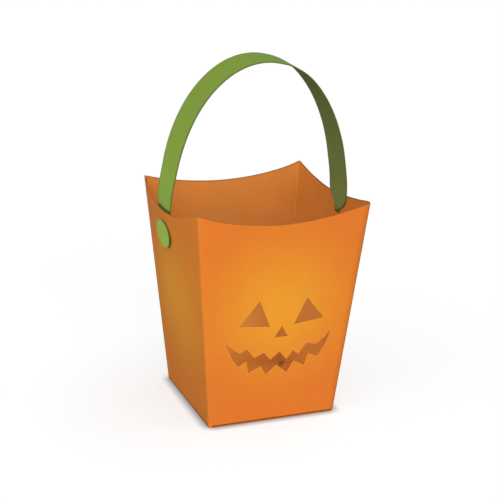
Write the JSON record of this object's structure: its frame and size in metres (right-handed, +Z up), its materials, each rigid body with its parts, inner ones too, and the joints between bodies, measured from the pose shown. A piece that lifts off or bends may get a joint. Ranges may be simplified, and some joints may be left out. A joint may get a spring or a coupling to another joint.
{
  "type": "card treat pail",
  "caption": "Folded card treat pail with tapered walls, sunken rims, a cut-out jack-o'-lantern face and a card strap handle locked through side slots.",
  "frame": {"origin": "middle of the base on the surface that the pail stands on", "axes": "+Z up through the crown of the handle, -Y out of the front wall with the cut face, X from side slot to side slot"},
  "size_m": [0.1198, 0.113, 0.2235],
  "materials": {
    "orange_card": "smooth printed card, soft yellow glow in the middle of each wall, orange towards the edges",
    "inner_card": "matte orange card",
    "green_card": "matte green card, darker olive on its inner side"
  },
  "bodies": {
    "pail": {"front_panel": "orange_card", "right_panel": "orange_card", "back_panel": "orange_card", "left_panel": "orange_card", "seam_flap": "inner_card", "bottom_panel": "orange_card", "front_tab": "inner_card", "right_tab": "inner_card", "left_tab": "inner_card"},
    "handle": {"handle": "green_card"}
  },
  "joints": [
    {"name": "handle_swing", "type": "hinge", "parent": "pail", "child": "handle", "pos_m": [0, 0, 0.1215], "axis": [1, 0, 0], "range_deg": [-7.4, 0]}
  ]
}
